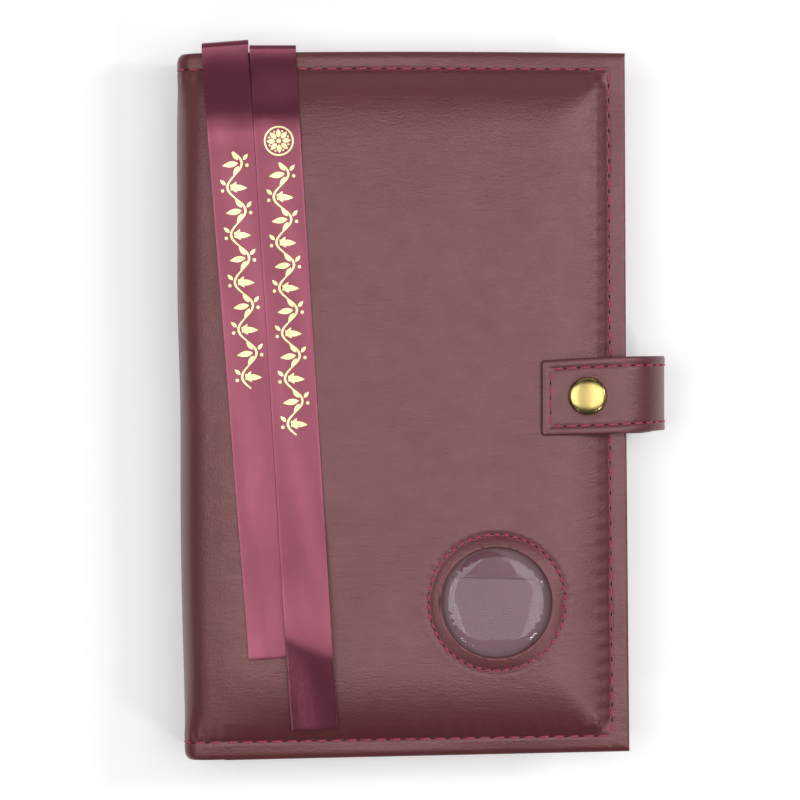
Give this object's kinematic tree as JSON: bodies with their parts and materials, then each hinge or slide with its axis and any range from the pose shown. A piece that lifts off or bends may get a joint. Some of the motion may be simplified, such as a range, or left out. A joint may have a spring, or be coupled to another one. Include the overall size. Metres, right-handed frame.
{
  "type": "prayer book in a slip-on cover",
  "caption": "Closed case-bound prayer book in a padded, stitched leatherette jacket with snap strap, medallion window and ribbon markers.",
  "frame": {"origin": "middle of the back cover's outer face, the face the closed book lies on", "axes": "+Z from the back cover to the front cover, +Y to the head of the book, +X to the fore-edge with the strap; the spine is at -X"},
  "size_m": [0.1643, 0.2384, 0.0471],
  "materials": {
    "leatherette": "fine-grained burgundy leatherette with a soft sheen",
    "thread": "twisted polyester thread",
    "lining": "thin woven lining",
    "foam": "soft foam sheet",
    "book_cloth": "book cloth",
    "board": "grey binder's board",
    "paper": "cream paper cut square at the edges",
    "endpaper": "smooth heavy paper",
    "mull": "open-weave gauze and glue",
    "headband": "striped woven band",
    "brass": "polished",
    "satin": "glossy satin",
    "foil": "hot-stamped gold foil",
    "clear_vinyl": "clear vinyl"
  },
  "bodies": {
    "back_cover": {"back_skin": "leatherette", "back_padding": "foam", "back_lining": "lining", "back_case_cloth": "book_cloth", "back_board": "board", "back_pastedown": "endpaper", "back_flap": "leatherette", "back_stitching": "thread", "back_joint_skin": "leatherette", "back_joint_stitching": "thread", "back_flyleaf": "endpaper", "back_page_block": "paper", "back_spine_mull": "mull", "back_headbands": "headband", "strap_base_outer": "leatherette", "strap_base_lining": "leatherette", "strap_base_stitching": "thread"},
    "spine_cover": {"spine_skin": "leatherette", "spine_lining": "lining", "spine_case_cloth": "book_cloth", "spine_board": "board", "spine_stitching": "thread", "front_joint_skin": "leatherette", "front_joint_stitching": "thread"},
    "front_cover": {"front_skin": "leatherette", "front_padding": "foam", "front_lining": "lining", "front_case_cloth": "book_cloth", "front_board": "board", "front_pastedown": "endpaper", "front_flap": "leatherette", "front_stitching": "thread", "medallion_window": "clear_vinyl", "medallion_backing": "leatherette", "window_stitching": "thread", "snap_stud": "brass", "stud_rivet": "brass", "long_ribbon_root": "satin", "short_ribbon_root": "satin", "ribbon_tacks": "thread"},
    "front_pages": {"front_page_block": "paper", "front_flyleaf": "endpaper", "front_spine_mull": "mull", "front_headbands": "headband"},
    "strap_side": {"strap_side_outer": "leatherette", "strap_side_lining": "leatherette", "strap_side_stitching": "thread"},
    "strap_tab": {"strap_tab_outer": "leatherette", "strap_tab_lining": "leatherette", "strap_tab_stitching": "thread", "snap_cap": "brass", "snap_socket": "brass"},
    "long_ribbon": {"long_ribbon": "satin", "long_ribbon_foil": "foil"},
    "short_ribbon": {"short_ribbon": "satin", "short_ribbon_foil": "foil"}
  },
  "joints": [
    {"name": "front_cover_hinge", "type": "hinge", "parent": "spine_cover", "child": "front_cover", "pos_m": [-0.067, 0, 0.0323], "axis": [0, -1, 0], "range_deg": [0, 88], "deforming": ["front_joint_skin", "front_joint_stitching"]},
    {"name": "spine_hinge", "type": "hinge", "parent": "back_cover", "child": "spine_cover", "pos_m": [-0.067, 0, 0.008], "axis": [0, -1, 0], "range_deg": [0, 88], "deforming": ["back_joint_skin", "back_joint_stitching"]},
    {"name": "front_pages_turn", "type": "hinge", "parent": "back_cover", "child": "front_pages", "pos_m": [-0.0692, 0, 0.0198], "axis": [0, -1, 0], "range_deg": [0, 176]},
    {"name": "strap_swing", "type": "hinge", "parent": "back_cover", "child": "strap_side", "pos_m": [0.0877, 0.0025, 0.0142], "axis": [0, 1, 0], "range_deg": [0, 80]},
    {"name": "snap_tab_lift", "type": "hinge", "parent": "strap_side", "child": "strap_tab", "pos_m": [0.0748, 0.0025, 0.0445], "axis": [0, 1, 0], "range_deg": [0, 80]},
    {"name": "long_ribbon_lift", "type": "hinge", "parent": "front_cover", "child": "long_ribbon", "pos_m": [-0.04364, 0.1175, 0.04125], "axis": [-1, 0, 0], "range_deg": [0, 150]},
    {"name": "short_ribbon_lift", "type": "hinge", "parent": "front_cover", "child": "short_ribbon", "pos_m": [-0.05959, 0.1175, 0.0407], "axis": [-1, 0, 0], "range_deg": [0, 150]}
  ],
  "couplings": [
    {"joint": "spine_hinge", "follows": "front_cover_hinge", "ratio": 1},
    {"joint": "front_pages_turn", "follows": "front_cover_hinge", "ratio": 2}
  ]
}
